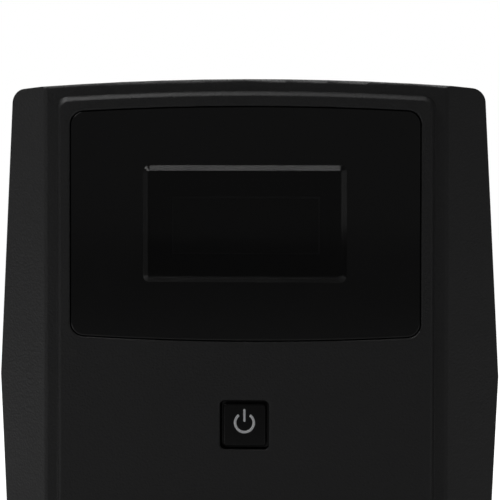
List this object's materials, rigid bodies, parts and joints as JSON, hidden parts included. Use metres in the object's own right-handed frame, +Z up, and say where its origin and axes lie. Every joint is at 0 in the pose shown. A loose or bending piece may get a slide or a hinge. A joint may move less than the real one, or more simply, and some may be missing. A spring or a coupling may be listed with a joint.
{
  "type": "uninterruptible power supply",
  "caption": "Tower uninterruptible power supply with chamfered front, dark display window, square power button, rear outlets and cooling fan.",
  "frame": {"origin": "on the floor under the middle of the bounding box", "axes": "+X to the right seen from the front, +Y from the front towards the rear panel, +Z up"},
  "size_m": [0.146, 0.35, 0.16],
  "materials": {
    "case_plastic": "satin",
    "gloss_black": "gloss",
    "smoked_lens": "gloss",
    "lcd_glass": "gloss",
    "button_plastic": "satin",
    "symbol_paint": "matte",
    "socket_plastic": "satin",
    "port_plastic": "satin",
    "port_metal": "satin",
    "black_plastic": "satin",
    "white_plastic": "satin",
    "fan_plastic": "satin",
    "battery_plastic": "matte",
    "relay_plastic": "satin",
    "fuse_plastic": "gloss",
    "capacitor_sleeve": "satin",
    "circuit_board": "satin",
    "rubber": "matte",
    "zinc_steel": "satin",
    "black_steel": "satin",
    "spring_steel": "polished",
    "lamination_steel": "matte",
    "plated_clips": "polished",
    "terminal_brass": "satin",
    "copper": "gloss",
    "lead_plates": "matte",
    "ferrite": "matte",
    "aluminium": "satin",
    "red_lead": "satin",
    "black_lead": "satin",
    "grey_lead": "satin",
    "brown_lead": "satin"
  },
  "bodies": {
    "case": {"front_bezel": "case_plastic", "top_cover": "case_plastic", "base_tray": "case_plastic", "rear_panel": "case_plastic", "rubber_feet": "rubber", "case_screws": "zinc_steel", "rear_panel_screws": "black_steel", "display_plate": "gloss_black", "display_lens": "smoked_lens", "lcd_glass": "lcd_glass", "lcd_holder": "black_plastic", "display_board": "circuit_board", "alarm_buzzer": "black_plastic", "button_spring": "spring_steel", "switch_body": "black_plastic", "battery_case_left": "battery_plastic", "battery_case_right": "battery_plastic", "battery_lid_left": "battery_plastic", "battery_lid_right": "battery_plastic", "battery_plates": "lead_plates", "battery_terminals": "terminal_brass", "battery_bracket": "zinc_steel", "floor_screws": "zinc_steel", "transformer_core": "lamination_steel", "transformer_bobbin": "white_plastic", "transformer_windings": "copper", "transformer_frame": "zinc_steel", "main_board": "circuit_board", "board_standoffs": "terminal_brass", "board_screws": "zinc_steel", "heatsinks": "aluminium", "power_transistors": "black_plastic", "capacitors": "capacitor_sleeve", "relays": "relay_plastic", "choke_core": "ferrite", "choke_winding": "copper", "blade_fuses": "fuse_plastic", "battery_leads_red": "red_lead", "battery_leads_black": "black_lead", "display_cable": "grey_lead", "mains_leads": "brown_lead", "round_outlet_left": "socket_plastic", "round_outlet_right": "socket_plastic", "earth_clips": "plated_clips", "appliance_outlet_left": "socket_plastic", "appliance_outlet_right": "socket_plastic", "mains_inlet": "socket_plastic", "mains_inlet_pins": "plated_clips", "breaker_body": "black_plastic", "breaker_nut": "plated_clips", "data_port": "port_metal", "network_ports": "port_plastic", "fan_frame": "fan_plastic", "fan_stator": "copper", "fan_screws": "black_steel"},
    "button": {"power_button": "button_plastic", "power_symbol": "symbol_paint", "switch_plunger": "white_plastic"},
    "fan": {"fan_rotor": "fan_plastic"},
    "breaker": {"breaker_button": "button_plastic"}
  },
  "joints": [
    {"name": "power_button_press", "type": "slide", "parent": "case", "child": "button", "axis": [0, 1, 0], "range_m": [0, 0.0018], "stiffness_N_per_m": 900, "springref_m": -0.0015, "deforming": ["button_spring"]},
    {"name": "fan_spin", "type": "hinge", "parent": "case", "child": "fan", "pos_m": [0.027, 0.158, 0.121], "axis": [0, 1, 0], "continuous": true},
    {"name": "breaker_pop", "type": "slide", "parent": "case", "child": "breaker", "axis": [0, 1, 0], "range_m": [0, 0.003]}
  ]
}
